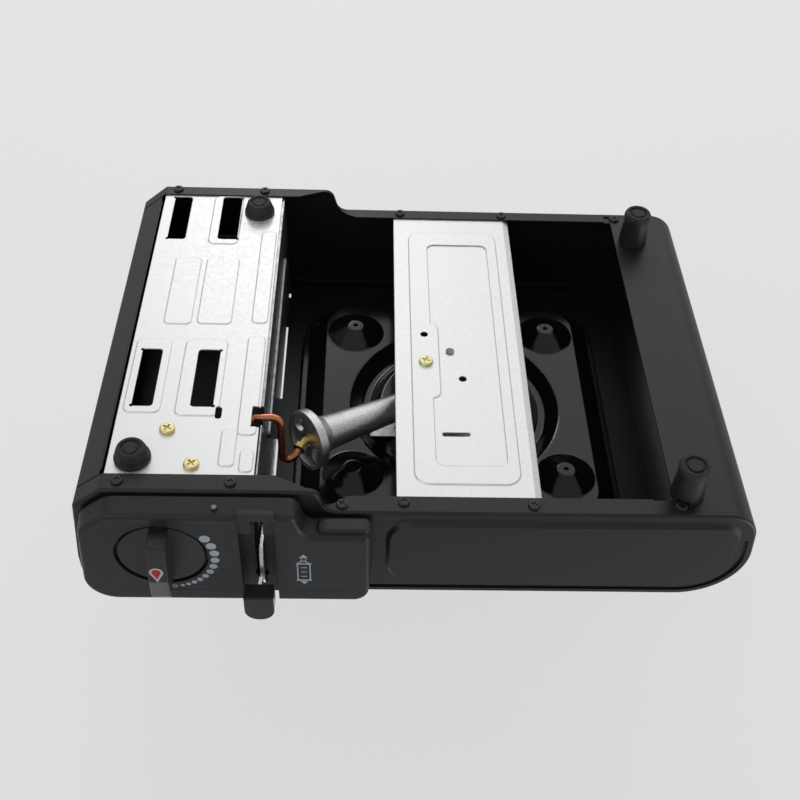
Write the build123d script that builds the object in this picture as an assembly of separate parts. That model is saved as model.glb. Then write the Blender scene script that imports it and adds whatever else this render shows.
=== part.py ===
"""Butane cassette stove, modelled as the separate pieces it is put together from.

Everything is drawn in the casing's own frame, in millimetres: X runs to the user's right, Y runs
from the front plate (0) to the back plate, Z runs up from the underside of the gas compartment (0).
place_in_row_frame() then moves the whole stove so that the origin is on the table, under its middle.
"""
from build123d import *
from math import atan, cos, degrees, radians, sin
import os

# Driving dimensions of the casing
right_extent = 170.0      # from the drawing's origin to the casing's right side
left_extent = 165.6       # the same to its left side
casing_depth = 240.0      # front plate to back plate, outer faces
deck_z = 79.0             # top of the deck above the compartment's underside
step_z = 14.5             # the burner side's underside sits this much higher
foot_height = 7.0         # short foot below the compartment
sheet = 0.9               # painted steel sheet
galvanised = 0.8          # galvanised sheet
front_flange = 10.5       # width of the front plate's turned-in lower edge
back_flange = 8.6         # the same on the back plate
rim_depth = 3.0           # how far the end plates' rounded rims reach along Y
seam = 0.05               # gap between a rim and the casing sheet
bend = 1.6                # outside radius of the end plates' bends

# Cross-section of the casing in X and Z, with the radius at each corner
chamfer_low_x = 151.5
chamfer_top = (166.0, 12.0)
step_x = (46.5, 50.5)
casing_corners = [
    (chamfer_low_x, 0.0, 1.0),
    (chamfer_top[0], chamfer_top[1], 3.0),
    (right_extent, 52.0, 25.0),
    (right_extent, deck_z, 18.0),
    (-169.2, deck_z, 33.0),
    (-162.5, step_z, 17.0),
    (step_x[0], step_z, 7.0),
    (step_x[1], 0.0, 6.0),
]

# Left return of the casing sheet, under which the tall feet stand
return_x = -122.0

# Drip pan, burner and pan support
pan_centre = (-22.5, 116.0)
burner_centre = (-22.5, 114.0)
pan_floor = 57.0
pan_sheet = 0.8
dimple_offset = (57.5, 56.0)

# Gas compartment
tray_x = (80.7, 151.0)
wall_x = 79.3             # burner side of the compartment wall
cartridge_axis = (118.0, 38.0)
knob_axis = (124.7, 32.3)
lid_axis = (83.0, deck_z - 2.4)
lid_open_angle = 100.0
lid_gap = 0.6             # lid to end plate, along Y

# Control panel and lock lever
panel_y = -13.0
knob_turn = 120.0
pointer_tilt = 3.0
lever_pivot_yz = (20.0, 41.5)
lever_turn = 46.0
button_front = -26.0
drive_radius = 14.0
carriage_travel = 2 * drive_radius * sin(radians(lever_turn / 2))

# Fasteners: plain shank in a slightly larger hole
screw_shank = 1.4
screw_hole = 1.45
zinc_shank = 1.5
zinc_hole = 1.55
low_screws = [(144.0, 6.1), (91.3, 5.7), (144.0, 236.0), (91.6, 236.0)]
high_screws = [
    (9.5, 6.9), (-53.3, 5.6), (39.0, 5.0), (8.8, 235.6), (-54.2, 235.2),
    (-125.0, 234.0), (-125.0, 6.2),
]
tray_screws = [(125.0, 39.4), (110.8, 17.0)]
bracket_screw = (-3.8, 104.2)
rivet_place = (-17.2, 112.9)
bend_clear = 2.6          # keeps inner plates off the inside radius of the end plates' bends
bead_depth = 0.6          # depth of the frame pressed into the burner's plate


# ---------------------------------------------------------------- small helpers
def block(x0, x1, y0, y1, z0, z1):
    """A box between two corners."""
    return Pos((x0 + x1) / 2, (y0 + y1) / 2, (z0 + z1) / 2) * Box(x1 - x0, y1 - y0, z1 - z0)


def upright(x, y, z0, z1, r):
    """A cylinder along Z."""
    return Pos(x, y, (z0 + z1) / 2) * Cylinder(r, z1 - z0)


def along_y(x, z, y0, y1, r):
    """A cylinder along Y."""
    return Pos(x, (y0 + y1) / 2, z) * Rot(90, 0, 0) * Cylinder(r, y1 - y0)


def along_x(y, z, x0, x1, r):
    """A cylinder along X."""
    return Pos((x0 + x1) / 2, y, z) * Rot(0, 90, 0) * Cylinder(r, x1 - x0)


def rounded(corners):
    """A face in the sketch plane from (u, v, radius) corners."""
    points = [(u, v) for u, v, r in corners]
    return make_face(FilletPolyline(*points, radius=[r for u, v, r in corners], close=True))


def prism_y(face, y0, y1):
    """An X-Z face pushed from y0 to y1."""
    return Pos(0, y0, 0) * extrude(Plane.XZ * face, amount=y0 - y1)


def prism_x(face, x0, x1):
    """A face drawn in (Y, Z) pushed from x0 to x1."""
    return Pos(x0, 0, 0) * extrude(Plane.YZ * face, amount=x1 - x0)


def slab(cx, cy, half_x, half_y, r, z0, z1):
    """A plate with rounded corners."""
    return Pos(cx, cy, z0) * extrude(RectangleRounded(2 * half_x, 2 * half_y, r), amount=z1 - z0)


def tub(cx, cy, low, high):
    """A tapering rounded block between two (half_x, half_y, radius, z) sections."""
    bottom = Pos(cx, cy, low[3]) * RectangleRounded(2 * low[0], 2 * low[1], low[2])
    top = Pos(cx, cy, high[3]) * RectangleRounded(2 * high[0], 2 * high[1], high[2])
    return loft([bottom.face(), top.face()], ruled=True)


def ring_of(cx, cy, profile):
    """Turns an (r, z) outline about a vertical axis."""
    face = make_face(Polyline(*profile, close=True))
    return Pos(cx, cy, 0) * revolve(Plane.XZ * face, Axis.Z)


def soft_ring_of(cx, cy, corners):
    """The same from (r, z, radius) corners, with the bends rounded."""
    return Pos(cx, cy, 0) * revolve(Plane.XZ * rounded(corners), Axis.Z)


def pressed(plate, pad, shift):
    """Presses a pad out of a sheet: adds it on one side and takes it, shifted, from the other."""
    return plate + pad - Pos(*shift) * pad


def emboss(x0, x1, y0, y1, r, z, depth):
    """A pad with sloping sides below a level sheet."""
    face = Pos((x0 + x1) / 2, (y0 + y1) / 2, z) * RectangleRounded(x1 - x0, y1 - y0, r)
    return extrude(face, amount=-depth, taper=50)


def outline(inset=0.0):
    """The casing's cross-section, drawn inwards by inset."""
    face = rounded(casing_corners)
    return offset(face, amount=-inset) if inset else face


def only(shape, keep):
    """The part of shape that lies inside keep."""
    return shape & keep


far = 400.0               # reaches past everything


# ---------------------------------------------------------------- painted casing
def rounded_prism(inset, y_front, radius):
    """The casing's section pushed back from y_front, its front edges rounded."""
    body = prism_y(outline(inset), y_front, y_front + 30)
    front = body.faces().sort_by(Axis.Y)[0]
    return fillet(front.edges(), radius)


def end_plate(flange, corner_x):
    """Front or back plate: face, rounded rim, grooved edge, turned-in lower flanges and inner lip."""
    shell = rounded_prism(0, 0, bend) - rounded_prism(sheet, sheet, bend - sheet)
    face_and_rim = only(shell, block(-far, far, -1, rim_depth, -5, 100))
    low_flange = [(chamfer_low_x + 20, 0), (chamfer_low_x + 20, flange), (71.0, flange), (52.5, 1.5)]
    high_flange = [(36.0, flange), (corner_x, flange), (-118.5, 2.0), (-118.5, -1), (44.0, -1), (46.0, 3.5)]
    low_cut = extrude(make_face(Polyline(*low_flange, (52.5, -1), close=True)), amount=15)
    high_cut = extrude(make_face(Polyline(*high_flange, close=True)), amount=25)
    flanges = only(shell, Pos(0, 0, -1.6) * low_cut) + only(shell, Pos(0, 0, -1) * high_cut)
    lip_band = prism_y(outline(1.4) - outline(2.3), rim_depth - sheet, 9.0)
    joggle = prism_y(outline(0.6) - outline(2.3), rim_depth - sheet, rim_depth)
    above = block(-far, far, -1, 20, step_z + 14, 100)
    lip = only(lip_band + joggle, above)
    tab = block(-137, -112, sheet, flange, step_z + sheet, step_z + 2 * sheet)
    plate = face_and_rim + flanges + lip + tab
    along_edge = block(-far, 150, -1, 20, 32, 100)
    plate += only(prism_y(outline(2.6) - outline(7.2), sheet - 0.01, 2.2), along_edge)
    cut = only(prism_y(outline(3.5) - outline(6.3), -1, 1.3), block(-far, 149, -2, 20, 33, 100))
    return plate - cut


def upright_screw_holes():
    """Clearance for every black screw in the lower flanges."""
    holes = [upright(x, y, -2, 9, screw_hole) for x, y in low_screws]
    holes += [upright(x, y, step_z - 2, step_z + 9, screw_hole) for x, y in high_screws]
    return holes


def mirrored_back(shape):
    """Turns a front piece into a back piece."""
    return Pos(0, casing_depth, 0) * mirror(shape, about=Plane.XZ)


badge = [(17.5, 20.5, 13.0), (17.5, 69.0, 15.0), (-157.5, 69.0, 21.0), (-156.5, 20.0, 11.0)]


def front_plate():
    plate = end_plate(front_flange, -111.5)
    pad = extrude(Plane.XZ * rounded(badge), amount=2.0, taper=45)
    plate = pressed(plate, pad, (0, sheet, 0))
    plate -= along_y(*knob_axis, -1, 5, 6.5)
    plate -= block(75.6, 79.0, -1, 5, 9.5, 62.5)
    return plate - upright_screw_holes()


def back_plate():
    return mirrored_back(end_plate(back_flange, -118.4)) - upright_screw_holes()


def hinge_spans():
    """Spans along Y of the deck's and the lid's knuckles."""
    deck_spans = [(12.0, 40.0), (104.0, 136.0), (200.0, 228.0)]
    lid_spans = [(40.5, 103.5), (136.5, 199.5)]
    return deck_spans, lid_spans


def knuckles(spans):
    """Sheet rolled around the hinge rod."""
    rolls = [along_y(*lid_axis, y0, y1, 2.4) for y0, y1 in spans]
    return Part() + rolls


def hinge_bore():
    return along_y(*lid_axis, 0, casing_depth, 1.55)


def casing_top():
    """One sheet bent over the deck, the left side and the left underside."""
    y0 = rim_depth + seam
    y1 = casing_depth - rim_depth - seam
    band = prism_y(outline() - outline(sheet), y0, y1)
    right_edge = lid_axis[0] - 4.7
    sheet_part = band - block(return_x, far, -1, far, -5, 70)
    deck_spans, lid_spans = hinge_spans()
    left = sheet_part - block(right_edge, far, -1, far, 60, 100)
    tongues = [only(sheet_part, block(0, lid_axis[0], a, b, 60, 100)) for a, b in deck_spans]
    casing = left + tongues + knuckles(deck_spans) - hinge_bore()
    casing -= slab(*pan_centre, 91, 95, 31.5, 70, 90)
    return casing - upright_screw_holes()


def cartridge_lid():
    """Cover over the gas compartment, wrapped down the right side to the chamfer."""
    y0 = rim_depth + lid_gap
    y1 = casing_depth - rim_depth - lid_gap
    band = prism_y(outline() - outline(sheet), y0, y1)
    band = band - block(-far, lid_axis[0], -1, far, -5, 100) - block(0, 153.2, -1, far, -5, 60)
    deck_spans, lid_spans = hinge_spans()
    clear = lid_axis[0] + 4.0
    skin = band - block(0, clear, -1, far, 60, 100)
    tongues = [only(band, block(lid_axis[0], clear + 1, a, b, 60, 100)) for a, b in lid_spans]
    lid = skin + tongues + knuckles(lid_spans) - hinge_bore()
    lid += block(152.6, 153.5, 14, casing_depth - 14, 1.5, 5.6)
    lid -= block(100, far, -1, 11.3, -5, 14)
    lid -= block(100, far, casing_depth - back_flange - 1, far, -5, 14)
    pad = Pos(0, 0, deck_z) * extrude(Pos(123, 120, 0) * RectangleRounded(50, 190, 10), amount=0.8, taper=45)
    return pressed(lid, pad, (0, 0, -sheet))


def hinge_rod():
    return along_y(*lid_axis, 11, casing_depth - 11, 1.5)


def drip_pan():
    """Enamelled dish let into the deck, with a ring bead and four support dimples."""
    cx, cy = pan_centre
    t = pan_sheet
    floor, shoulder = pan_floor, pan_floor + 11
    outer = tub(cx, cy, (75, 80, 16, floor), (86, 91, 27, shoulder))
    outer += tub(cx, cy, (89, 93.2, 30, shoulder), (90.6, 94.6, 31, deck_z))
    inner = tub(cx, cy, (74.7, 79.7, 15.7, floor + t), (85.7, 90.7, 26.7, shoulder + t))
    inner += tub(cx, cy, (88.2, 92.4, 29.2, shoulder + t), (89.8, 93.8, 30.2, deck_z + 3))
    pan = outer + slab(cx, cy, 95, 99, 35, deck_z, deck_z + t) - inner
    bx, by = burner_centre
    top = floor + t
    bead = soft_ring_of(bx, by, [
        (41, top - 0.3, 0), (61.5, top - 0.3, 0), (61.5, top, 0), (60, top, 3.5), (52.4, top + 5, 3),
        (48.5, top + 5, 3), (42.5, top, 3), (41, top, 0)])
    pan = pressed(pan, bead, (0, 0, -t))
    collar = ring_of(bx, by, [(20, top), (35, top), (30, top + 4.5), (20, top + 4.5)])
    pan = pressed(pan, collar, (0, 0, -t))
    pan -= upright(bx, by, 50, 70, 26)
    for sx in (-1, 1):
        for sy in (-1, 1):
            x, y = cx + sx * dimple_offset[0], cy + sy * dimple_offset[1]
            cone = soft_ring_of(x, y, [
                (0, floor + 0.3, 0), (17.3, floor + 0.3, 0), (17.3, floor, 0), (16.3, floor, 3.5),
                (4.6, floor - 6.5, 3), (0, floor - 6.5, 0)])
            pan = pressed(pan, cone, (0, 0, t)) - upright(x, y, 40, 60, 1.3)
    return pan - upright(*electrode_place, 50, 65, 3.7)


# ---------------------------------------------------------------- burner
electrode_place = (8.6, 92.2)
disc_centre = (57.5, 58.1, 27.3)
tube_end = (burner_centre[0], burner_centre[1], 43.0)
tube_run = Vector(*tube_end) - Vector(*disc_centre)
tube_plane = Plane(origin=disc_centre, x_dir=(-0.23, -0.54, 0.745), z_dir=tube_run)


air_hole_turn = -30.0


def turned(profile):
    """Turns an (r, distance) outline about the mixing tube's axis."""
    face = make_face(Polyline(*profile, close=True))
    return tube_plane * revolve(Plane.XZ * face, Axis.Z)


def mixing_tube():
    """Cast tube with its air inlet disc, elbow and the two feet on the bracket."""
    bx, by = burner_centre
    length = tube_run.length
    tube = turned([(0, -2.2), (16.0, -2.2), (16.0, 2.3), (13.2, 2.3), (9.6, 9), (8.6, 20),
                   (7.4, 52), (7.9, length - 4), (0, length - 4)])
    tube += upright(bx, by, 32, 57.5, 11)
    tube += upright(*bracket_screw, step_z + sheet + galvanised - bead_depth, 36, 4.6)
    tube += upright(-18.5, 112.9, step_z + sheet + galvanised, 36, 5.2)
    tube -= turned([(0, 2.3), (12.4, 2.3), (7.6, 9), (6.2, 20), (5.2, 52), (5.6, length), (0, length)])
    tube -= turned([(0, -3), (14.2, -3), (14.2, -0.9), (0, -0.9)])
    tube -= turned([(0, -3), (3.25, -3), (3.25, 3), (0, 3)])
    tube -= upright(bx, by, 38, 60, 8)
    for side in (0, 180):
        tube -= tube_plane * Rot(0, 0, air_hole_turn + side) * Pos(9.9, 0, 0) * Cylinder(4.1, 8)
    tube -= upright(*bracket_screw, 14, 25, zinc_hole)
    return tube - upright(*rivet_place, 14, 22, 1.65)


def burner_head():
    """Cast bowl on the elbow."""
    return ring_of(*burner_centre, [
        (8, 57.5), (12, 57.5), (15, 60), (30, 69), (33, 71), (33, 76.5), (31.6, 76.5),
        (31.6, 71.5), (29, 70), (14, 61.6), (8, 61.6)])


def burner_cap():
    """Flame cap with a ring of slots."""
    cap = ring_of(*burner_centre, [
        (0, 81), (12, 80.6), (25, 79), (31.2, 76.9), (31.2, 71.7), (30.2, 71.7), (30.2, 76),
        (24.6, 77.8), (12, 79.4), (0, 79.8)])
    bx, by = burner_centre
    for k in range(36):
        slot = Pos(27.4, 0, 77.5) * Box(4.6, 1.3, 5)
        cap -= Pos(bx, by, 0) * Rot(0, 0, 10 * k) * slot
    return cap


def burner_bracket():
    """Galvanised plate across the underside that carries the burner."""
    low = step_z + sheet
    high = low + galvanised
    plate = block(-54.6, 12.8, bend_clear, casing_depth - bend_clear, low, high)
    plate += block(12.8 - galvanised, 12.8, 12, casing_depth - 12, low, high + 6)
    lip = [(-54.6, low), (-58.0, low + 1.6), (-58.0, high + 1.6), (-54.6, high)]
    plate += prism_y(make_face(Polyline(*lip, close=True)), bend_clear, casing_depth - bend_clear)
    frame = emboss(-49.0, 4.3, 18.5, 218.5, 8, low, bead_depth) - emboss(-43.5, -6.4, 30, 206.5, 5, low, 0.7)
    frame += emboss(-11.5, 4.3, 77, 136, 5, low, bead_depth)
    plate = pressed(plate, frame, (0, 0, galvanised))
    for x, y in [(-3.4, 126.2), (-23.2, 92.2)]:
        plate -= upright(x, y, 10, 20, 2.1)
    plate -= slab(-18, 52, 7.2, 1.4, 1.2, 10, 20)
    plate -= upright(*bracket_screw, 10, 20, zinc_hole)
    plate -= upright(*rivet_place, 10, 20, 1.65)
    return plate - upright_screw_holes()


pipe_end = (62.5, 51.6, 28.4)          # where the copper meets the jet's collar
elbow_point = Vector(*disc_centre) - tube_run.normalized() * 2.6
elbow_run = elbow_point - Vector(*pipe_end)


def gas_nozzle():
    """Brass elbow: a hexagon on the pipe side, a jet through the middle of the inlet disc."""
    way = Plane(origin=pipe_end, z_dir=elbow_run)
    hexagon = way * Pos(0, 0, 0.7) * extrude(RegularPolygon(3.5, 6), amount=2.5)
    neck = elbow_run.length - 0.7
    body = hexagon + way * Pos(0, 0, 0.7 + neck / 2) * Cylinder(2.3, neck)
    body += Pos(elbow_point) * Sphere(2.3)
    body += turned([(0, -2.6), (2.3, -2.6), (2.3, -1.6), (3.2, -1.0), (3.2, 4.6), (2.0, 7.5), (0, 7.5)])
    return body - turned([(0, -2.6), (0.5, -2.6), (0.5, 8), (0, 8)])


def nozzle_collar():
    """Dark compression ring where the pipe meets the jet."""
    way = Plane(origin=pipe_end, z_dir=elbow_run)
    ring = extrude(Circle(3.2) - Circle(2.05), amount=0.7)
    return way * ring


pipe_route = [
    (97.0, 20.0, 22.0), (88.5, 20.0, 22.0), (87.5, 38.0, 8.0), (86.5, 52.2, 5.3), (71.0, 52.7, 5.3),
    (70.4, 44.8, 32.2),
]


def gas_pipe():
    """Copper capillary from the regulator to the jet."""
    way = elbow_run.normalized()
    last = Vector(*pipe_end)
    points = [Vector(*p) for p in pipe_route] + [last - way * 3.4, last + way * 0.65]
    line = FilletPolyline(*points, radius=[4.5, 4.5, 3.2, 4.5, 3.4, 4.0])
    start = Plane(origin=points[0], z_dir=points[1] - points[0])
    return sweep(start * Circle(2.0), path=line, transition=Transition.ROUND)


def electrode_insulator():
    return ring_of(*electrode_place, [
        (0.9, 47), (2.6, 47), (2.6, 55), (3.4, 56), (3.4, 67), (2.2, 69.5), (0.9, 69.5)])


def electrode_pin():
    """Spark wire, bent over towards the burner."""
    x, y = electrode_place
    bx, by = burner_centre
    reach = Vector(bx - x, by - y, 0).normalized() * 3.4
    line = FilletPolyline((x, y, 45.5), (x, y, 74), (x + reach.X, y + reach.Y, 76.5), radius=[1.6])
    return sweep(Plane(origin=(x, y, 45.5), z_dir=(0, 0, 1)) * Circle(0.85), path=line)


def electrode_clip():
    """Little galvanised strap that holds the insulator under the pan."""
    x, y = electrode_place
    strap = block(x - 5, x + 18, y - 5.5, y + 5.5, pan_floor - 1.2, pan_floor - 0.4)
    strap += block(x + 17.2, x + 18, y - 5.5, y + 5.5, pan_floor - 7, pan_floor - 0.4)
    return strap - upright(x, y, 50, 60, 3.75)


def pan_support():
    """Enamelled frame with four prongs; its four legs stand in the pan's dimples."""
    cx, cy = pan_centre
    frame = slab(cx, cy, 73, 72, 31, 76.8, 78.0) - upright(*burner_centre, 70, 90, 50)
    frame += slab(cx, cy, 73, 72, 31, 70.5, 78.0) - slab(cx, cy, 71.8, 70.8, 29.8, 70, 79)
    for sx in (-1, 1):
        for sy in (-1, 1):
            x, y = cx + sx * dimple_offset[0], cy + sy * dimple_offset[1]
            frame += ring_of(x, y, [(0, 51.6), (2.6, 51.6), (5.2, 77.2), (0, 77.2)])
    prong = [(71.5, 77.2), (52, 77.2), (47, 80.5), (25, 90.5), (21, 97.0), (23, 98.5),
             (65, 98.5), (71.5, 91)]
    for k in range(4):
        blade = prism_y(make_face(Polyline(*prong, close=True)), -1.1, 1.1)
        frame += Pos(*burner_centre, 0) * Rot(0, 0, 45 + 90 * k) * blade
    return frame


# ---------------------------------------------------------------- gas compartment
def compartment_tray():
    """Galvanised floor of the compartment with its vent slots."""
    low, high = sheet, sheet + galvanised
    tray = block(*tray_x, bend_clear, casing_depth - bend_clear, low, high)
    pads = [
        (101.0, 119.8, 116.0, 172.3, 3.0), (122.4, 137.5, 115.5, 172.0, 3.0),
        (101.0, 123.4, 48.5, 104.2, 4.0), (130.2, 149.0, 50.2, 104.2, 4.0),
        (81.6, 91.2, 36.0, 107.0, 3.0), (81.6, 90.6, 117.0, 197.0, 3.0),
        (90.6, 98.6, 15.9, 40.0, 2.5), (103.5, 121.2, 184.5, 231.0, 4.0), (81.6, 88.6, 12.5, 27.0, 2.5),
    ]
    for x0, x1, y0, y1, r in pads:
        tray = pressed(tray, emboss(x0, x1, y0, y1, r, low, 0.5), (0, 0, galvanised))
    for x0, x1 in [(134.5, 145.0), (104.5, 116.0)]:
        for y0, y1 in [(189.0, 230.0), (54.7, 96.0)]:
            tray -= slab((x0 + x1) / 2, (y0 + y1) / 2, (x1 - x0) / 2, (y1 - y0) / 2, 2.0, -3, 5)
            for y in (y0 + 0.6, y1 - 0.6):
                tray -= upright(x1 if x0 > 120 else x0, y, -3, 5, 1.0)
    tray -= slab(101.4, 51.2, 1.6, 4.0, 1.5, -3, 5)
    tray -= block(80, 84.8, 41.8, 55.6, -3, 5)
    for x, y in tray_screws:
        tray -= upright(x, y, -3, 5, zinc_hole)
    return tray - upright_screw_holes()


def compartment_wall():
    """Galvanised wall between the compartment and the burner side."""
    base = sheet + galvanised
    inner = wall_x + galvanised
    wall = block(wall_x, inner, 2.3, casing_depth - 2.3, base, 76.2)
    wall += block(wall_x, inner, 10, casing_depth - 10, 76, deck_z - sheet)
    wall += block(inner, inner + 9, 57, casing_depth - 12, base, base + galvanised)
    strip = rounded([(60, 25, 2.4), (60, 31, 2.4), (205, 31, 2.4), (205, 25, 2.4)])
    bead = prism_x(strip, wall_x - 2, wall_x)
    bead = fillet(bead.faces().sort_by(Axis.X)[0].edges(), 1.4)
    wall = pressed(wall, bead, (galvanised, 0, 0))
    py, pz = lever_pivot_yz
    wall -= along_x(py, pz, 70, 90, 3.0)
    wall -= block(70, 90, py - 9, py + 9, pz + 9.6, pz + 17.4)
    wall -= block(70, 90, 44, 56.5, 0, 8.2)
    for y in stud_places:
        wall -= along_x(y, carriage_z, 70, 90, 1.6)
    wall -= along_x(spring_fixed_y, spring_z, 70, 90, 1.5)
    return wall


def regulator_bracket():
    """Galvanised angle that holds the regulator down to the tray."""
    base = sheet + galvanised
    foot = slab(118, 27.2, 16, 17.2, 3, base, base + 1.2)
    plate = block(102, 134, 43.2, 44.4, base, 54)
    bracket = foot + plate - along_y(*cartridge_axis, 40, 48, 10.1)
    for x, y in tray_screws:
        bracket -= upright(x, y, 0, 10, zinc_hole)
    return bracket


def regulator_body():
    """Die-cast pressure regulator behind the knob, with the cartridge inlet at its back."""
    kx, kz = knob_axis
    cx, cz = cartridge_axis
    body = along_y(kx, kz, 6.5, 22, 18)
    body += block(107, 133, 20, 40, 21, 53)
    body += along_y(cx, cz, 38, 49, 10)
    body += along_x(20, 22, 98, 112, 5.2)
    body -= along_y(cx, cz, 43, 50, 6.2)
    body -= along_y(cx, cz, 30, 50, 3.0)
    body -= along_y(kx, kz, 0, 15, 4.05)
    return body - along_x(20, 22, 96, 103, 2.05)


def inlet_seal():
    """Rubber ring the cartridge's valve seats on."""
    cx, cz = cartridge_axis
    return along_y(cx, cz, 43, 46, 6.0) - along_y(cx, cz, 42, 47, 3.0)


def piezo_igniter():
    body = block(127.5, 140.5, 8, 36, 54.5, 66.5)
    body = fillet(body.edges().filter_by(Axis.Y), 2.5)
    return body + along_y(134, 60.5, 36, 42, 2.2)


# ---------------------------------------------------------------- control panel, knob and lever
panel_corners = [
    (148.5, 1.6, 12.0), (163.0, 13.5, 12.0), (167.5, 70.5, 17.0), (24.5, 70.5, 9.0),
    (24.5, 16.4, 4.0), (56.0, 16.4, 7.0), (59.8, 1.6, 5.0),
]
panel_gap = 1.7           # shadow gap between the panel's edge and the front plate
panel_wall = 2.2
channel_x = (70.1, 87.3)
blade_x = (76.4, 78.0)
slot_x = (76.1, 80.5)
button_x = 78.7
button_back = -17.4
dial_corners = [
    (91.5, 6.8, 1.5), (148.0, 5.6, 4.0), (154.3, 12.5, 3.0), (156.4, 47.5, 6.0),
    (151.5, 60.5, 5.0), (91.5, 60.5, 1.5),
]
note_corners = [
    (64.5, 11.0, 2.0), (57.0, 22.3, 8.0), (34.0, 23.6, 1.0), (34.0, 60.5, 1.5), (64.5, 60.5, 1.5),
]


def control_panel():
    """Moulded housing over the front of the compartment."""
    base = rounded(panel_corners)
    outer = Pos(0, -panel_gap, 0) * extrude(Plane.XZ * base, amount=-panel_y - panel_gap, taper=7)
    outer = fillet(outer.faces().sort_by(Axis.Y)[0].edges(), 2.4)
    outer += prism_y(offset(base, amount=-1.3), -panel_gap - 1, 0)
    ridge = extrude(Pos(38, -6.6, 17.5) * RectangleRounded(25, 7.6, 3.2), amount=-2.6)
    outer += fillet(ridge.faces().sort_by(Axis.Z)[0].edges(), 1.2)
    inner = extrude(Plane.XZ * offset(base, amount=-panel_wall), amount=-panel_y - panel_wall, taper=7)
    body = outer - inner
    seat = along_y(*knob_axis, panel_y + 0.5, -7.4, 24.6)
    body += only(seat, outer)
    body -= along_y(*knob_axis, -20, -10, 22.3)
    body -= along_y(*knob_axis, -20, 1, 8.0)
    x0, x1 = channel_x
    housing = block(x0 - 2.2, x1 + 2.2, panel_y + 0.5, -3.2, 3, 69)
    body += only(housing, outer)
    body -= block(x0, x1, -20, -6.5, 4.4, 90)
    body -= block(slot_x[0], slot_x[1], -20, 1, 9.5, 62.5)
    body -= along_y(78.3, 54.0, -20, 1, 3.5)
    body += block(x0, 75.5, -12.0, -6.3, 4.2, 16.0)
    body += block(81.2, x1, -12.0, -6.3, 4.2, 16.0)
    body += block(x0 - 0.5, x1 - 0.5, panel_y - 0.7, -10.6, -0.4, 4.5)
    for corners in (dial_corners, note_corners):
        body -= prism_y(rounded(corners), panel_y - 1, panel_y + 0.35)
    return body - upright(*panel_rivet_place, -3, 8, 1.0)


panel_rivet_place = (97.6, -8.0)


def dial_label():
    """Thin plate around the knob, carrying the heat scale."""
    plate = prism_y(rounded(dial_corners), panel_y + 0.05, panel_y + 0.35)
    return plate - along_y(*knob_axis, -20, 0, 22.4)


def note_label():
    """Thin plate beside the lever, carrying the cartridge pictogram."""
    return prism_y(rounded(note_corners), panel_y + 0.05, panel_y + 0.35)


def panel_rivet():
    return upright(*panel_rivet_place, 1.2, 6.0, 0.95) + upright(*panel_rivet_place, 1.0, 2.2, 1.3)


def gas_knob():
    """Dial with its grip bar, drawn pointing up and then tilted to its rest position."""
    kx, kz = knob_axis
    disc = along_y(0, 0, panel_y + 0.4, -10.5, 20.8)
    disc = fillet(disc.faces().sort_by(Axis.Y)[0].edges(), 0.5)
    side = rounded([(-12.2, -20.6, 0.4), (-24.5, -20.3, 0.6), (-25.0, 4.8, 1.0), (-22.2, 21.8, 1.6),
                    (-12.2, 22.0, 0.4)])
    grip = prism_x(side, -4.5, 4.5)
    grip = fillet(grip.faces().sort_by(Axis.Y)[0].edges(), 0.6)
    knob = disc + grip + along_y(0, 0, -12, -6.0, 7.0) - along_y(0, 0, -12.0, 0, 4.02)
    return Pos(kx, 0, kz) * Rot(0, pointer_tilt, 0) * knob


def valve_spindle():
    return along_y(*knob_axis, -12.0, 14.0, 4.0)


def lever_blade():
    """Steel plate lever on the burner side of the compartment wall."""
    py, pz = lever_pivot_yz
    reach = 34.5
    up, down = radians(24), radians(-25)
    tip_up = (py - reach * cos(up), pz + reach * sin(up))
    tip_down = (py - reach * cos(down), pz + reach * sin(down))
    front = ThreePointArc(tip_up, (py - reach, pz), tip_down)
    edge = Polyline(tip_down, (py + 4, pz - 6), (py + 5, pz + 4), tip_up)
    plate = prism_x(make_face(front + edge), *blade_x)
    tongue = [(-8.0, pz + 5.0), (-14.0, pz + 6.0), (-17.0, pz + 7.6), (-23.0, pz + 9.8), (-23.0, pz + 17.5),
              (-15.0, pz + 17.5), (-8.0, pz + 12.0)]
    bent = prism_x(make_face(Polyline(*tongue, close=True)), -0.8, 0.8)
    middle = (blade_x[0] + blade_x[1]) / 2
    turn = degrees(atan((button_x - middle) / 10.5))
    plate += Pos(middle, -8.0, 0) * Rot(0, 0, turn) * Pos(0, 8.0, 0) * bent
    plate += along_x(py, pz, *blade_x, 7.5)
    lean = radians(lever_turn / 2)
    pin_y, pin_z = py + drive_radius * sin(lean), pz + drive_radius * cos(lean)
    arm = [(py - 5, pz), (py + 6, pz), (pin_y + 3.4, pin_z), (pin_y - 3.4, pin_z)]
    plate += prism_x(make_face(Polyline(*arm, close=True)), *blade_x)
    plate += along_x(pin_y, pin_z, *blade_x, 3.6)
    plate -= along_x(py, pz, 70, 90, 3.05)
    return plate - along_x(pin_y, pin_z, 70, 90, 1.8)


def drive_pin():
    """Pin through the wall that moves the cartridge carriage."""
    py, pz = lever_pivot_yz
    lean = radians(lever_turn / 2)
    pin_y, pin_z = py + drive_radius * sin(lean), pz + drive_radius * cos(lean)
    pin = along_x(pin_y, pin_z, blade_x[0], 83.4, 1.8)
    return pin + along_x(pin_y, pin_z, blade_x[0] - 1.0, blade_x[0], 2.9)


def lever_pivot():
    """Shoulder rivet the lever turns on, fixed in the compartment wall."""
    py, pz = lever_pivot_yz
    shank = along_x(py, pz, blade_x[0] - 0.4, wall_x + galvanised, 3.0)
    return shank + along_x(py, pz, blade_x[0] - 1.6, blade_x[0] - 0.4, 5.0)


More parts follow.
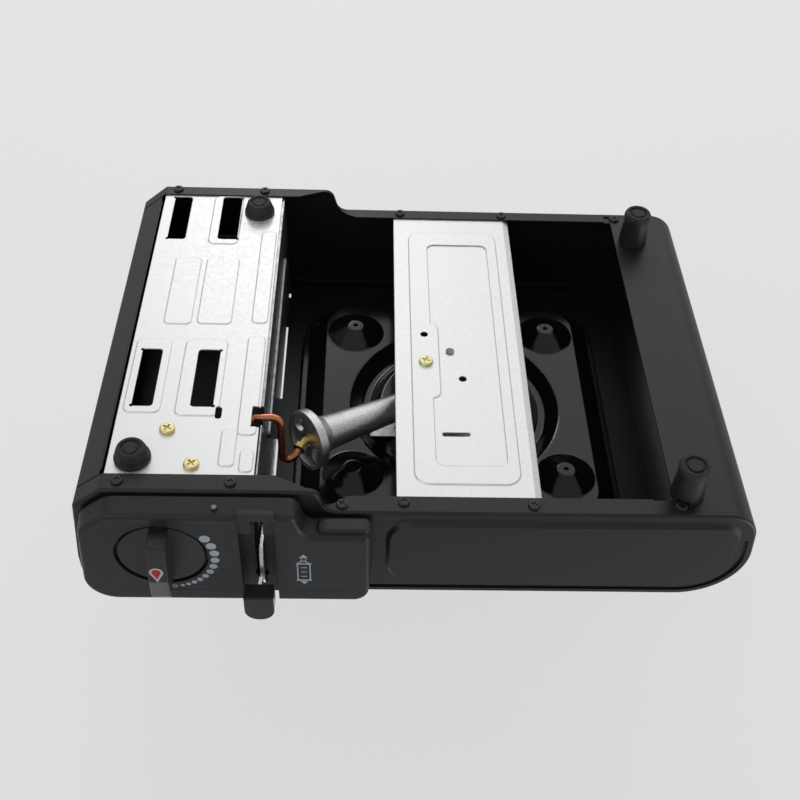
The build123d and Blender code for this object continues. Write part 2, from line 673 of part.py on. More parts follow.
def lever_button():
    """Thumb piece on the lever's end."""
    half, low, high = 7.3, 49.0, 67.0
    front = rounded([(button_x - half, low, 0.6), (button_x + half, low, 0.6),
                     (button_x + half, high, 7.0), (button_x - half, high, 7.0)])
    button = prism_y(front, button_front, button_back)
    button = fillet(button.faces().sort_by(Axis.Y)[0].edges(), 0.8)
    return button - lever_blade()


carriage_z = 56.0
carriage_x = (80.6, 81.8)
stud_places = [80.0, 175.0]
spring_z = 66.0
spring_fixed_y = 192.0
spring_moving_y = 150.0


def cartridge_carriage():
    """Sliding strip along the wall, whose bent end pulls the cartridge onto the regulator."""
    x0, x1 = carriage_x
    py, pz = lever_pivot_yz
    lean = radians(lever_turn / 2)
    pin_y = py + drive_radius * sin(lean)
    strip = block(x0, x1, 14, 230, 50.5, 61.5)
    strip -= block(70, 90, pin_y - 2.1, pin_y + 2.1, 51.9, 58.2)
    for y in stud_places:
        slot = slab(0, 0, 1.9 + carriage_travel / 2 + 0.3, 1.9, 1.85, -5, 5)
        strip -= Pos(81, y + carriage_travel / 2, carriage_z) * Rot(0, 90, 0) * Rot(0, 0, 90) * slot
    pusher = block(x0, 122, 230, 231.2, 30, 61.5)
    pusher -= block(x1 + 6, 130, 229, 233, 52, 62)
    lug = block(x0, x1, spring_moving_y - 4, spring_moving_y + 4, 61, 69)
    lug += along_x(spring_moving_y, spring_z, x1, 85.2, 1.5)
    lug += along_x(spring_moving_y, spring_z, 85.2, 86.0, 2.6)
    return strip + pusher + lug


def carriage_studs():
    """Headed studs that guide the carriage, and the spring's fixed post."""
    studs = Part()
    for y in stud_places:
        studs += along_x(y, carriage_z, wall_x, 82.3, 1.6) + along_x(y, carriage_z, 82.3, 83.4, 3.4)
    studs += along_x(spring_fixed_y, spring_z, wall_x, 85.2, 1.5)
    studs += along_x(spring_fixed_y, spring_z, 85.2, 86.0, 2.6)
    return studs


def return_spring():
    """Tension spring that draws the carriage back to the unlocked position."""
    start, end = spring_moving_y + 5.0, spring_fixed_y - 5.0
    coil = Helix(pitch=2.2, height=end - start, radius=2.3)
    section = Plane(origin=coil @ 0, z_dir=coil % 0) * Circle(0.4)
    lay = Pos(84.0, start, spring_z) * Rot(-90, 0, 0)
    spring = lay * sweep(section, path=coil, is_frenet=True)
    for coil_end, post_y, side in [(coil @ 0, spring_moving_y, 1), (coil @ 1, spring_fixed_y, -1)]:
        hook = Vector(84.0, post_y + 2.05 * side, spring_z)
        wire_end = (lay * Pos(coil_end)).position
        spring += Pos(84.0, post_y, spring_z) * Rot(0, 90, 0) * Torus(2.05, 0.4)
        run = hook - wire_end
        spring += Plane(origin=wire_end, z_dir=run) * extrude(Circle(0.4), amount=run.length)
        spring += Pos(wire_end) * Sphere(0.42)
    return spring


# ---------------------------------------------------------------- feet and fasteners
short_feet_places = [(139.1, 20.9), (93.3, 216.1)]
tall_feet_places = [(-128.9, 14.5), (-132.9, 212.8)]


def short_feet():
    """Rubber buttons under the compartment, with a ringed sole."""
    feet = []
    for x, y in short_feet_places:
        feet.append(soft_ring_of(x, y, [
            (0, sheet, 0), (8.8, sheet, 0), (8.8, -0.9, 0.3), (8.0, -1.2, 0.2), (7.9, -3.4, 2.0),
            (6.6, -foot_height, 1.2), (5.0, -foot_height, 0.3), (4.7, -6.1, 0.2), (3.6, -6.1, 0.2),
            (3.3, -6.7, 0.2), (0, -6.7, 0)]))
    return Compound(children=feet)


def tall_feet():
    """Moulded legs under the left return."""
    feet = []
    relief = Pos(high_screws[-1][0], high_screws[-1][1], step_z - 1) * Cylinder(3.4, 4)
    for x, y in tall_feet_places:
        feet.append(ring_of(x, y, [(0, step_z), (8.4, step_z), (7.4, -3.0), (0, -3.0)]) - relief)
    return Compound(children=feet)


def tall_foot_tips():
    """Rubber tips with a raised ring and a sunk sole."""
    tips = []
    for x, y in tall_feet_places:
        tips.append(soft_ring_of(x, y, [
            (0, -3.0, 0), (7.9, -3.0, 0), (7.9, -5.2, 0.8), (7.0, -foot_height, 0.7),
            (5.4, -foot_height, 0.3), (5.0, -5.8, 0.2), (4.0, -5.8, 0.2), (3.8, -6.7, 0.2), (0, -6.7, 0)]))
    return Compound(children=tips)


def screw(head_r, head_h, shank_r, length):
    """Pan-head screw with a cross recess, head downwards, underside of the head at z = 0."""
    head = Pos(0, 0, -head_h / 2) * Cylinder(head_r, head_h)
    head = fillet(head.faces().sort_by(Axis.Z)[0].edges(), head_h * 0.6)
    body = head + Pos(0, 0, length / 2) * Cylinder(shank_r, length)
    for turn in (0, 90):
        body -= Pos(0, 0, -head_h) * Rot(0, 0, turn) * Box(head_r * 1.15, head_r * 0.26, head_h)
    return body


def flange_screws():
    """Black screws in the lower flanges."""
    black = screw(2.9, 1.4, screw_shank, 6)
    placed = [Pos(x, y, 0) * Rot(0, 0, 9 * k) * black for k, (x, y) in enumerate(low_screws)]
    placed += [Pos(x, y, step_z) * Rot(0, 0, 17 * k) * black for k, (x, y) in enumerate(high_screws)]
    return Compound(children=placed)


def zinc_screws():
    """Yellow zinc screws: two for the regulator bracket, one for the burner."""
    yellow = screw(3.9, 1.8, zinc_shank, 5)
    placed = [Pos(x, y, sheet) * Rot(0, 0, 30 + 20 * k) * yellow for k, (x, y) in enumerate(tray_screws)]
    placed.append(Pos(*bracket_screw, step_z + sheet - bead_depth) * Rot(0, 0, 20) * yellow)
    return Compound(children=placed)


def burner_rivet():
    x, y = rivet_place
    base = step_z + sheet
    return upright(x, y, base, base + 5, 1.6) + upright(x, y, base - 0.8, base, 2.3)


# ---------------------------------------------------------------- all the pieces
pieces = {
    "casing_top": casing_top,
    "front_plate": front_plate,
    "back_plate": back_plate,
    "drip_pan": drip_pan,
    "burner_bracket": burner_bracket,
    "compartment_tray": compartment_tray,
    "compartment_wall": compartment_wall,
    "mixing_tube": mixing_tube,
    "burner_head": burner_head,
    "burner_cap": burner_cap,
    "gas_nozzle": gas_nozzle,
    "nozzle_collar": nozzle_collar,
    "gas_pipe": gas_pipe,
    "regulator_body": regulator_body,
    "regulator_bracket": regulator_bracket,
    "inlet_seal": inlet_seal,
    "piezo_igniter": piezo_igniter,
    "electrode_insulator": electrode_insulator,
    "electrode_pin": electrode_pin,
    "electrode_clip": electrode_clip,
    "control_panel": control_panel,
    "dial_label": dial_label,
    "note_label": note_label,
    "panel_rivet": panel_rivet,
    "lever_pivot": lever_pivot,
    "carriage_studs": carriage_studs,
    "return_spring": return_spring,
    "hinge_rod": hinge_rod,
    "short_feet": short_feet,
    "tall_feet": tall_feet,
    "tall_foot_tips": tall_foot_tips,
    "flange_screws": flange_screws,
    "zinc_screws": zinc_screws,
    "burner_rivet": burner_rivet,
    "gas_knob": gas_knob,
    "valve_spindle": valve_spindle,
    "lever_blade": lever_blade,
    "lever_button": lever_button,
    "drive_pin": drive_pin,
    "cartridge_carriage": cartridge_carriage,
    "cartridge_lid": cartridge_lid,
    "pan_support": pan_support,
}


def place_in_row_frame(shape):
    """Moves a shape from the casing frame to the stove's own frame."""
    middle_x = (right_extent - left_extent) / 2
    middle_y = (button_front + casing_depth) / 2
    return Pos(-middle_x, -middle_y, foot_height) * shape


if __name__ == "__main__":
    os.makedirs("parts", exist_ok=True)
    for name, make in pieces.items():
        export_step(place_in_row_frame(make()), f"parts/{name}.step")
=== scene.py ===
import bpy
import bmesh
from math import cos, pi, radians, sin
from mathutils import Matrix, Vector


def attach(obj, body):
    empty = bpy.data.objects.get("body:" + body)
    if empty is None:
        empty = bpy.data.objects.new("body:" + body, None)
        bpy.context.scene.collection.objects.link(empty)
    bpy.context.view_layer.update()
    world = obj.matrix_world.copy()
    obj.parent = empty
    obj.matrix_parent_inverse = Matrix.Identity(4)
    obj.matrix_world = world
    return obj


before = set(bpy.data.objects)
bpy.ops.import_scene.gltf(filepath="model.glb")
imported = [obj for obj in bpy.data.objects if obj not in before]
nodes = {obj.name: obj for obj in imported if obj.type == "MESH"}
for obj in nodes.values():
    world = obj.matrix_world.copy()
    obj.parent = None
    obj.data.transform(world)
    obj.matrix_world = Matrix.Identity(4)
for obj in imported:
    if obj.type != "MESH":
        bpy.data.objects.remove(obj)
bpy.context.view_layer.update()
mm = 0.001


# ------------------------------------------------------------ camera and studio
# The stove is seen from below and in front, as when it lies on its top. One pale floor
# stands under its feet and shows only from above, another lies past its top and shows
# only from below, and wide soft lamps light both sides.
middle_x, middle_y, foot_height = 2.2, 107.0, 7.0


def point(x, y, z):
    """A place in the casing's own millimetres, moved to the stove's frame in metres."""
    return Vector(((x - middle_x) * mm, (y - middle_y) * mm, (z + foot_height) * mm))


camera_data = bpy.data.cameras.new("camera")
camera_data.sensor_width = 36.0
camera_data.lens = 50.4
camera = bpy.data.objects.new("camera", camera_data)
camera.location = (0.02697, -0.43746, -0.39930)
camera.rotation_euler = (radians(-136.069), radians(1.910), radians(-179.354))
bpy.context.scene.collection.objects.link(camera)
bpy.context.scene.camera = camera
bpy.context.scene.view_settings.view_transform = "Standard"

world = bpy.data.worlds.new("studio")
bpy.context.scene.world = world
world.use_nodes = True
sky = world.node_tree
sky_light = sky.nodes["Background"]
sky_light.inputs["Color"].default_value = (0.92, 0.95, 1.0, 1)  # slightly cool, as daylight
sky_light.inputs["Strength"].default_value = 0.16
sky_ray = sky.nodes.new("ShaderNodeLightPath")
sky_out = sky_light.outputs[0]
pale = 0.86           # the background's brightness as the camera sees it
mirrored_pale = 0.50  # and as polished surfaces see it
for ray, brightness in (("Is Glossy Ray", mirrored_pale), ("Is Camera Ray", pale)):
    sky_seen = sky.nodes.new("ShaderNodeBackground")
    sky_seen.inputs["Color"].default_value = (brightness, brightness, brightness, 1)
    sky_mix = sky.nodes.new("ShaderNodeMixShader")
    sky.links.new(sky_ray.outputs[ray], sky_mix.inputs["Fac"])
    sky.links.new(sky_out, sky_mix.inputs[1])
    sky.links.new(sky_seen.outputs[0], sky_mix.inputs[2])
    sky_out = sky_mix.outputs[0]
sky.links.new(sky_out, sky.nodes["World Output"].inputs["Surface"])


def one_sided_floor(name, height, seen_from_below):
    """A wide pale plane that only the camera sees, and only from its own side."""
    material = bpy.data.materials.new(name)
    material.use_nodes = True
    tree = material.node_tree
    shader = tree.nodes["Principled BSDF"]
    shader.inputs["Base Color"].default_value = (0.30, 0.30, 0.30, 1)
    shader.inputs["Roughness"].default_value = 0.9
    shader.inputs["Emission Color"].default_value = (pale, pale, pale, 1)
    shader.inputs["Emission Strength"].default_value = 0.72
    clear = tree.nodes.new("ShaderNodeBsdfTransparent")
    mix = tree.nodes.new("ShaderNodeMixShader")
    ray = tree.nodes.new("ShaderNodeLightPath")
    side = tree.nodes.new("ShaderNodeNewGeometry")
    own_side = tree.nodes.new("ShaderNodeMath")
    own_side.operation = "SUBTRACT"
    own_side.use_clamp = True
    tree.links.new(ray.outputs["Is Camera Ray"], own_side.inputs[0])
    tree.links.new(side.outputs["Backfacing"], own_side.inputs[1])
    tree.links.new(own_side.outputs[0], mix.inputs["Fac"])
    tree.links.new(clear.outputs[0], mix.inputs[1])
    tree.links.new(shader.outputs[0], mix.inputs[2])
    tree.links.new(mix.outputs[0], tree.nodes["Material Output"].inputs["Surface"])
    half = 6.0  # metres from the middle to the edge
    corners = [(-half, -half, height), (half, -half, height), (half, half, height), (-half, half, height)]
    if seen_from_below:
        corners.reverse()
    mesh = bpy.data.meshes.new(name)
    mesh.from_pydata(corners, [], [(0, 1, 2, 3)])
    mesh.materials.append(material)
    floor = bpy.data.objects.new(name, mesh)
    bpy.context.scene.collection.objects.link(floor)


table_height, past_the_top = 0.0, 0.19
one_sided_floor("floor", table_height, False)
one_sided_floor("upper_floor", past_the_top, True)


stove_middle = Vector((0, 0, 0.05))


def soft_lamp(name, place, width, height, watts):
    """A rectangular studio lamp turned towards the stove's middle."""
    data = bpy.data.lights.new(name, "AREA")
    data.shape = "RECTANGLE"
    data.size = width
    data.size_y = height
    data.energy = watts
    lamp = bpy.data.objects.new(name, data)
    lamp.location = place
    lamp.rotation_euler = (stove_middle - Vector(place)).to_track_quat("-Z", "Y").to_euler()
    bpy.context.scene.collection.objects.link(lamp)


soft_lamp("lamp_below_back", (-0.20, 1.05, -1.05), 2.2, 1.5, 7.2)
soft_lamp("lamp_below_front", (0.9, -0.9, -0.9), 1.2, 1.2, 4)
soft_lamp("lamp_low_back", (0.20, 1.25, -0.80), 0.25, 0.25, 1.0)
soft_lamp("lamp_above_front", (-1.2, -0.9, 0.45), 0.9, 0.9, 7)
soft_lamp("lamp_above", (0.3, 0.5, 1.5), 1.3, 1.3, 15)


# ------------------------------------------------------------ casing
# Deck, left side and left return are one bent steel sheet; the front and back plates are
# deep pressings that hook over it. All are powder coated black, semi-gloss, with the
# slight orange peel that such a coat dries to.
def finish(name, colour, metal, roughness):
    """A named surface finish: its material, its node tree and its shader."""
    material = bpy.data.materials.new(name)
    material.use_nodes = True
    shader = material.node_tree.nodes["Principled BSDF"]
    shader.inputs["Base Color"].default_value = (*colour, 1)
    shader.inputs["Metallic"].default_value = metal
    shader.inputs["Roughness"].default_value = roughness
    shader.inputs["Specular IOR Level"].default_value = 0.4
    return material, material.node_tree, shader


def grain(tree, per_mm, detail=3.0, stretch=(1, 1, 1)):
    """Noise that stays put on the piece, with its cell size given in lumps per millimetre."""
    place = tree.nodes.new("ShaderNodeTexCoord")
    scale = tree.nodes.new("ShaderNodeMapping")
    scale.inputs["Scale"].default_value = [s * per_mm / mm for s in stretch]
    noise = tree.nodes.new("ShaderNodeTexNoise")
    noise.inputs["Scale"].default_value = 1.0
    noise.inputs["Detail"].default_value = detail
    tree.links.new(place.outputs["Object"], scale.inputs["Vector"])
    tree.links.new(scale.outputs[0], noise.inputs["Vector"])
    return noise.outputs["Fac"]


def between(tree, source, low, high, start=0.3, end=0.7):
    """Spreads a pattern's middle range over two values."""
    spread = tree.nodes.new("ShaderNodeMapRange")
    spread.inputs["From Min"].default_value = start
    spread.inputs["From Max"].default_value = end
    spread.inputs["To Min"].default_value = low
    spread.inputs["To Max"].default_value = high
    tree.links.new(source, spread.inputs["Value"])
    return spread.outputs["Result"]


def two_colours(tree, source, first, second, start=0.3, end=0.7):
    """Fades between two colours by a pattern."""
    ramp = tree.nodes.new("ShaderNodeValToRGB")
    ramp.color_ramp.elements[0].position = start
    ramp.color_ramp.elements[1].position = end
    ramp.color_ramp.elements[0].color = (*first, 1)
    ramp.color_ramp.elements[1].color = (*second, 1)
    tree.links.new(source, ramp.inputs["Fac"])
    return ramp.outputs["Color"]


def relief(tree, shader, source, depth_mm, edge_mm=0.35):
    """Raises a pattern on the surface and takes the knife edge off the corners."""
    edge = tree.nodes.new("ShaderNodeBevel")
    edge.samples = 6  # enough for a smooth edge
    edge.inputs["Radius"].default_value = edge_mm * mm
    bump = tree.nodes.new("ShaderNodeBump")
    bump.inputs["Strength"].default_value = 1.0
    bump.inputs["Distance"].default_value = depth_mm * mm
    tree.links.new(source, bump.inputs["Height"])
    tree.links.new(edge.outputs[0], bump.inputs["Normal"])
    tree.links.new(bump.outputs[0], shader.inputs["Normal"])


def dress(material, *names):
    """Gives a finish to CAD pieces whose shape stays as it is."""
    for name in names:
        for slot in nodes[name].material_slots:
            slot.material = material


paint, tree, shader = finish("black_powder_coat", (0.011, 0.011, 0.012), 0.0, 0.38)
tree.links.new(between(tree, grain(tree, 0.9, 2.0), 0.37, 0.43), shader.inputs["Roughness"])
colour = two_colours(tree, grain(tree, 0.9), (0.010, 0.010, 0.011), (0.013, 0.013, 0.014))
tree.links.new(colour, shader.inputs["Base Color"])
relief(tree, shader, grain(tree, 1.1, 2.0), 0.02)
dress(paint, "casing_top", "front_plate", "back_plate")


# ------------------------------------------------------------ drip pan
# A pressed dish in glossy black enamel, let into the deck, with a ring bead around the
# burner and four dimples for the pan support's legs.
enamel, tree, shader = finish("black_enamel", (0.009, 0.009, 0.010), 0.0, 0.14)
tree.links.new(between(tree, grain(tree, 0.5), 0.12, 0.17), shader.inputs["Roughness"])
colour = two_colours(tree, grain(tree, 0.9, 4.0), (0.006, 0.006, 0.007), (0.009, 0.009, 0.010), 0.5, 0.75)
tree.links.new(colour, shader.inputs["Base Color"])
relief(tree, shader, grain(tree, 0.12, 1.0), 0.03, 0.8)
dress(enamel, "drip_pan", "pan_support")


# ------------------------------------------------------------ galvanised sheet pieces
# Burner bracket, compartment floor and wall, carriage and small brackets are cut from
# zinc-coated sheet: pale, matt, with a fine spangle of crystals that catch light apart.
def spangle(tree, cell_mm):
    """A random value for each zinc crystal."""
    place = tree.nodes.new("ShaderNodeTexCoord")
    cells = tree.nodes.new("ShaderNodeTexVoronoi")
    cells.inputs["Scale"].default_value = 1.0 / (cell_mm * mm)
    split = tree.nodes.new("ShaderNodeSeparateColor")
    tree.links.new(place.outputs["Object"], cells.inputs["Vector"])
    tree.links.new(cells.outputs["Color"], split.inputs["Color"])
    return split.outputs[0]


zinc, tree, shader = finish("zinc_coated_sheet", (0.84, 0.85, 0.85), 0.75, 0.45)
crystal = spangle(tree, 1.6)
tree.links.new(between(tree, crystal, 0.40, 0.52, 0, 1), shader.inputs["Roughness"])
colour = two_colours(tree, crystal, (0.80, 0.81, 0.81), (0.89, 0.90, 0.895), 0, 1)
tree.links.new(colour, shader.inputs["Base Color"])
relief(tree, shader, grain(tree, 1.6, 4.0), 0.015, 0.5)
dress(zinc, "burner_bracket", "compartment_tray", "regulator_bracket")

# The compartment wall, electrode clip and carriage are the same zinc sheet, metallic and smoother, but
# their colour is darkened to about a third of the pale sheet's: painted shade for the dark interior they
# face and reflect.
shade_painted_zinc, tree, shader = finish("zinc_sheet_painted_shade", (0.30, 0.31, 0.32), 1.0, 0.34)
tree.links.new(between(tree, spangle(tree, 2.2), 0.28, 0.40, 0, 1), shader.inputs["Roughness"])
colour = two_colours(tree, grain(tree, 0.3, 4.0), (0.22, 0.23, 0.24), (0.40, 0.41, 0.42))
tree.links.new(colour, shader.inputs["Base Color"])
relief(tree, shader, grain(tree, 1.0, 4.0), 0.02, 0.4)
dress(shade_painted_zinc, "compartment_wall", "electrode_clip", "cartridge_carriage")


# ------------------------------------------------------------ burner
# The mixing tube and the burner's bowl are die castings, left as cast; the flame cap is
# pressed steel. The tube's round inlet faces the jet and draws its air through two holes.
casting, tree, shader = finish("cast_aluminium", (0.46, 0.46, 0.45), 0.9, 0.5)
pores = grain(tree, 1.4, 5.0)
tree.links.new(between(tree, pores, 0.26, 0.42), shader.inputs["Roughness"])
colour = two_colours(tree, pores, (0.50, 0.50, 0.495), (0.84, 0.84, 0.83))
tree.links.new(colour, shader.inputs["Base Color"])
relief(tree, shader, pores, 0.22, 0.6)
dress(casting, "mixing_tube", "burner_head")

cap_steel, tree, shader = finish("flame_cap_steel", (0.42, 0.40, 0.37), 0.95, 0.4)
tree.links.new(between(tree, grain(tree, 0.3), 0.3, 0.48), shader.inputs["Roughness"])
colour = two_colours(tree, grain(tree, 0.06), (0.45, 0.43, 0.40), (0.36, 0.31, 0.27))
tree.links.new(colour, shader.inputs["Base Color"])
relief(tree, shader, grain(tree, 1.5), 0.02, 0.3)
dress(cap_steel, "burner_cap")


# ------------------------------------------------------------ gas line
# A thin copper pipe runs from the regulator, out through the wall and into a brass elbow
# whose jet sits in the middle of the inlet. A dark ring seals the joint.
copper, tree, shader = finish("drawn_copper", (0.55, 0.22, 0.11), 1.0, 0.3)
tarnish = grain(tree, 0.12, 4.0)
tree.links.new(between(tree, tarnish, 0.24, 0.42), shader.inputs["Roughness"])
colour = two_colours(tree, tarnish, (0.62, 0.25, 0.13), (0.36, 0.13, 0.07))
tree.links.new(colour, shader.inputs["Base Color"])
relief(tree, shader, grain(tree, 1.2), 0.02)
dress(copper, "gas_pipe")

brass, tree, shader = finish("turned_brass", (0.72, 0.50, 0.19), 1.0, 0.26)
tree.links.new(between(tree, grain(tree, 0.9), 0.2, 0.4), shader.inputs["Roughness"])
colour = two_colours(tree, grain(tree, 0.25), (0.76, 0.55, 0.22), (0.55, 0.38, 0.14))
tree.links.new(colour, shader.inputs["Base Color"])
relief(tree, shader, grain(tree, 2.2, 3.0), 0.03, 0.2)
dress(brass, "gas_nozzle", "valve_spindle")

rubber, tree, shader = finish("black_rubber", (0.022, 0.022, 0.023), 0.0, 0.62)
tree.links.new(between(tree, grain(tree, 0.4), 0.52, 0.72), shader.inputs["Roughness"])
colour = two_colours(tree, grain(tree, 0.3), (0.018, 0.018, 0.019), (0.030, 0.030, 0.031))
tree.links.new(colour, shader.inputs["Base Color"])
relief(tree, shader, grain(tree, 2.5), 0.02, 0.4)
dress(rubber, "nozzle_collar", "inlet_seal")


# ------------------------------------------------------------ regulator and igniter
# The pressure regulator is a zinc die casting behind the knob, the igniter a closed
# black block beside it, and its spark wire stands in a white glazed insulator. Pins,
# studs and spring are bright plated steel; rivets and the hinge rod are dull.
zamak, tree, shader = finish("zinc_die_casting", (0.50, 0.51, 0.52), 0.9, 0.48)
tree.links.new(between(tree, grain(tree, 1.0, 4.0), 0.4, 0.58), shader.inputs["Roughness"])
colour = two_colours(tree, grain(tree, 0.5, 4.0), (0.44, 0.45, 0.46), (0.55, 0.56, 0.57))
tree.links.new(colour, shader.inputs["Base Color"])
relief(tree, shader, grain(tree, 1.6, 4.0), 0.06, 0.5)
dress(zamak, "regulator_body")

glaze, tree, shader = finish("white_glaze", (0.82, 0.81, 0.78), 0.0, 0.15)
tree.links.new(between(tree, grain(tree, 0.5), 0.1, 0.25), shader.inputs["Roughness"])
colour = two_colours(tree, grain(tree, 0.4), (0.84, 0.83, 0.80), (0.76, 0.74, 0.70))
tree.links.new(colour, shader.inputs["Base Color"])
relief(tree, shader, grain(tree, 0.8), 0.02, 0.3)
dress(glaze, "electrode_insulator")

steel, tree, shader = finish("bright_plated_steel", (0.62, 0.63, 0.64), 1.0, 0.28)
tree.links.new(between(tree, grain(tree, 0.8), 0.24, 0.34), shader.inputs["Roughness"])
colour = two_colours(tree, grain(tree, 0.3), (0.66, 0.67, 0.68), (0.56, 0.57, 0.58))
tree.links.new(colour, shader.inputs["Base Color"])
relief(tree, shader, grain(tree, 3.0), 0.004, 0.2)
dress(steel, "electrode_pin", "lever_pivot", "carriage_studs", "return_spring")
dress(steel, "lever_blade", "drive_pin")

dull_steel, tree, shader = finish("dull_rivet_steel", (0.16, 0.16, 0.165), 1.0, 0.45)
tree.links.new(between(tree, grain(tree, 0.8), 0.38, 0.52), shader.inputs["Roughness"])
colour = two_colours(tree, grain(tree, 0.4), (0.13, 0.13, 0.135), (0.22, 0.22, 0.225))
tree.links.new(colour, shader.inputs["Base Color"])
relief(tree, shader, grain(tree, 2.0), 0.01, 0.2)
dress(dull_steel, "panel_rivet", "burner_rivet", "hinge_rod")


# ------------------------------------------------------------ control panel
# A moulded black housing with a fine satin texture, screwed over the front of the
# compartment, and two thin printed plates let into it.
plastic, tree, shader = finish("black_moulding", (0.015, 0.016, 0.018), 0.0, 0.46)
tree.links.new(between(tree, grain(tree, 0.3), 0.42, 0.52), shader.inputs["Roughness"])
colour = two_colours(tree, grain(tree, 0.05), (0.014, 0.015, 0.017), (0.017, 0.018, 0.021))
tree.links.new(colour, shader.inputs["Base Color"])
relief(tree, shader, grain(tree, 2.4, 2.0), 0.025, 0.5)
dress(plastic, "control_panel", "piezo_igniter")

plate, tree, shader = finish("printed_plate", (0.020, 0.021, 0.024), 0.0, 0.5)
tree.links.new(between(tree, grain(tree, 0.5), 0.46, 0.56), shader.inputs["Roughness"])
colour = two_colours(tree, grain(tree, 0.08), (0.018, 0.019, 0.022), (0.022, 0.023, 0.026))
tree.links.new(colour, shader.inputs["Base Color"])
relief(tree, shader, grain(tree, 3.0), 0.008, 0.12)
dress(plate, "dial_label", "note_label")


def ink(name, tint):
    """Screen-printed ink, slightly uneven."""
    material, tree, shader = finish(name, tint, 0.0, 0.4)
    thin = 0.82  # brightness where the ink lies thin
    dark = [thin * c for c in tint]
    tree.links.new(two_colours(tree, grain(tree, 1.5), dark, tint), shader.inputs["Base Color"])
    tree.links.new(between(tree, grain(tree, 2.0), 0.34, 0.5), shader.inputs["Roughness"])
    return material


plate_face = -12.95  # front of the two printed plates, along Y
ink_height = 0.06
ink_root = 0.01      # depth to which the ink reaches into the face


def printed(name, outlines, face_y, material, body):
    """Flat ink shapes from (x, z) outlines, raised a little from the face they are printed on."""
    mesh = bpy.data.meshes.new(name)
    build = bmesh.new()
    for corners in outlines:
        low = [build.verts.new(point(x, face_y + ink_root, z)) for x, z in corners]
        high = [build.verts.new(point(x, face_y - ink_height, z)) for x, z in corners]
        build.faces.new(high)
        build.faces.new(low[::-1])
        for k in range(len(corners)):
            j = (k + 1) % len(corners)
            build.faces.new((low[k], low[j], high[j], high[k]))
    bmesh.ops.recalc_face_normals(build, faces=build.faces)
    build.to_mesh(mesh)
    build.free()
    mesh.materials.append(material)
    piece = bpy.data.objects.new(name, mesh)
    bpy.context.scene.collection.objects.link(piece)
    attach(piece, body)
    return piece


def disc(x, z, r, steps=28):
    """A round spot of ink."""
    return [(x + r * cos(2 * pi * k / steps), z + r * sin(2 * pi * k / steps)) for k in range(steps)]


knob_x, knob_z = 124.7, 32.3
scale_radius = 25.5
first_dot_angle, dot_pitch, pitch_growth = 17.7, 6.6, 0.378
smallest_dot, dot_growth = 1.0, 0.16
dots = []
for k in range(11):
    angle = radians(first_dot_angle + dot_pitch * k + pitch_growth * k * k)
    dot_x = knob_x - scale_radius * sin(angle)
    dot_z = knob_z + scale_radius * cos(angle)
    dots.append(disc(dot_x, dot_z, smallest_dot + dot_growth * k))
pale_ink = ink("pale_ink", (0.62, 0.70, 0.78))
printed("heat_scale_dots", dots, plate_face, pale_ink, "casing")


def stroke(x0, z0, x1, z1, width):
    """A straight printed line."""
    along = Vector((x1 - x0, z1 - z0)).normalized()
    side = Vector((-along.y, along.x)) * width / 2
    return [(x0 + side.x, z0 + side.y), (x0 - side.x, z0 - side.y),
            (x1 - side.x, z1 - side.y), (x1 + side.x, z1 + side.y)]


ring_x, ring_z = 120.8, 57.3
ring_inside, ring_outside = 0.85, 1.3
off_ring = []
for k in range(16):
    corners = []
    for turn, r in ((k, ring_inside), (k + 1, ring_inside), (k + 1, ring_outside), (k, ring_outside)):
        corners.append((ring_x + r * cos(pi * turn / 8), ring_z + r * sin(pi * turn / 8)))
    off_ring.append(corners)
printed("off_ring", off_ring, plate_face, pale_ink, "casing")

# The cartridge sign: its outline with a shoulder at each end, and the way it is pushed in.
sign_x = 57.2
thin_line, thick_line, rim_line = 0.5, 0.6, 0.9
sign = []
for side in (1, -1):
    sign.append(stroke(sign_x + 3.0 * side, 38.4, sign_x + 3.0 * side, 50.8, thick_line))
for rim_z in (37.9, 51.3):
    sign.append(stroke(sign_x + 3.7, rim_z, sign_x - 3.7, rim_z, rim_line))
for side in (1, -1):
    sign.append(stroke(sign_x + 2.6 * side, 37.4, sign_x + 1.2 * side, 35.9, thick_line))
sign.append(stroke(sign_x + 1.4, 35.7, sign_x - 1.4, 35.7, thick_line))
for side in (1, -1):
    sign.append(stroke(sign_x + side, 35.5, sign_x + side, 34.0, thin_line))
sign.append([(sign_x, 30.4), (sign_x + 2.2, 33.2), (sign_x - 2.2, 33.2)])
sign.append([(sign_x, 54.6), (sign_x + 2.0, 52.2), (sign_x - 2.0, 52.2)])
for bar_z in (41.0, 44.6, 48.2):
    sign.append(stroke(sign_x + 1.4, bar_z, sign_x - 1.4, bar_z, thin_line))
printed("cartridge_sign", sign, plate_face, pale_ink, "casing")


# ------------------------------------------------------------ knob
# One black moulding: a flat dial with a grip bar across it, pushed on the valve spindle.
# A small red drop with a white edge marks its pointing end.
knob_plastic, tree, shader = finish("knob_moulding", (0.018, 0.019, 0.020), 0.0, 0.42)
tree.links.new(between(tree, grain(tree, 0.3), 0.36, 0.48), shader.inputs["Roughness"])
colour = two_colours(tree, grain(tree, 0.07), (0.016, 0.017, 0.018), (0.020, 0.021, 0.022))
tree.links.new(colour, shader.inputs["Base Color"])
relief(tree, shader, grain(tree, 2.4, 2.0), 0.02, 0.3)
dress(knob_plastic, "gas_knob")


drop_x, drop_z = 125.1, 29.6
drop_corners = 36


def drop(r, tip):
    """A drop outline on the grip: round below, drawn out to a point above."""
    outline = []
    for k in range(drop_corners):
        turn = 2 * pi * k / drop_corners
        pull = max(0.0, sin(turn)) ** 3
        narrowing = 1 - 0.8 * pull
        outline.append((drop_x + r * cos(turn) * narrowing, drop_z + r * sin(turn) + tip * pull))
    return outline


grip_front, grip_slope, grip_level = -25.0, 0.02, 37.1  # the grip's face: its Y, slope and height


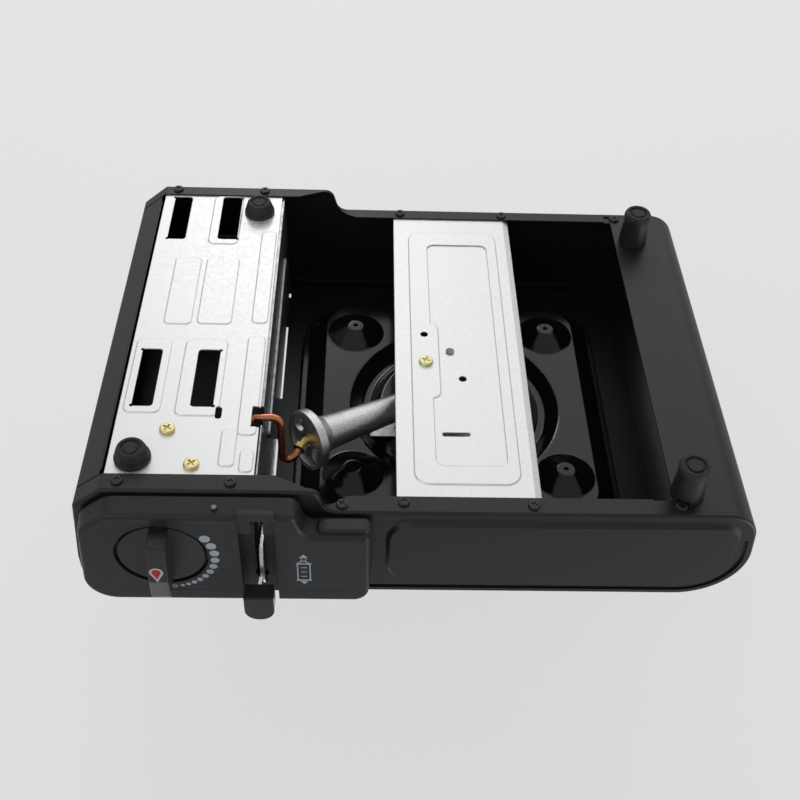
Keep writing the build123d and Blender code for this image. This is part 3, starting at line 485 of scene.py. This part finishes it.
def mark(name, outline, lift, material):
    """One layer of the drop, laid on the grip's sloping face."""
    piece = printed(name, [outline], 0.0, material, "knob")
    for corner in piece.data.vertices:
        grip_face = grip_front + grip_slope * (grip_level - (corner.co.z / mm - foot_height)) - lift
        corner.co.y += (grip_face + 0.03) * mm


mark("drop_edge", drop(3.3, 4.2), 0.0, ink("white_ink", (0.80, 0.80, 0.80)))
mark("drop_mark", drop(2.2, 3.1), 0.05, ink("red_ink", (0.62, 0.030, 0.022)))


# ------------------------------------------------------------ lock lever
# A steel blade that turns beside the compartment wall and a black thumb piece moulded on
# its end; its drive pin reaches through the wall to the carriage.
dress(knob_plastic, "lever_button")


# ------------------------------------------------------------ cartridge lid
# A steel cover over the compartment, coated like the casing, hinged along the deck.
dress(paint, "cartridge_lid")


# ------------------------------------------------------------ feet
# Two short rubber feet stand under the compartment and two tall moulded legs with rubber
# tips under the left return, so that the stove stands level.
dress(rubber, "short_feet", "tall_foot_tips")
dress(plastic, "tall_feet")


# ------------------------------------------------------------ screws
# Black pan-head screws hold the plates together, three yellow-passivated ones hold the
# regulator's bracket and the burner.
blackened, tree, shader = finish("blackened_steel", (0.040, 0.040, 0.041), 0.5, 0.34)
tree.links.new(between(tree, grain(tree, 0.8), 0.26, 0.44), shader.inputs["Roughness"])
colour = two_colours(tree, grain(tree, 0.6), (0.034, 0.034, 0.035), (0.060, 0.060, 0.061))
tree.links.new(colour, shader.inputs["Base Color"])
relief(tree, shader, grain(tree, 2.0), 0.02, 0.25)
dress(blackened, "flange_screws")

passivated, tree, shader = finish("yellow_passivated_zinc", (0.70, 0.58, 0.30), 1.0, 0.32)
tree.links.new(between(tree, grain(tree, 0.8), 0.24, 0.42), shader.inputs["Roughness"])
colour = two_colours(tree, grain(tree, 0.35, 2.0), (0.78, 0.62, 0.28), (0.62, 0.66, 0.40))
tree.links.new(colour, shader.inputs["Base Color"])
relief(tree, shader, grain(tree, 2.0), 0.02, 0.25)
dress(passivated, "zinc_screws")
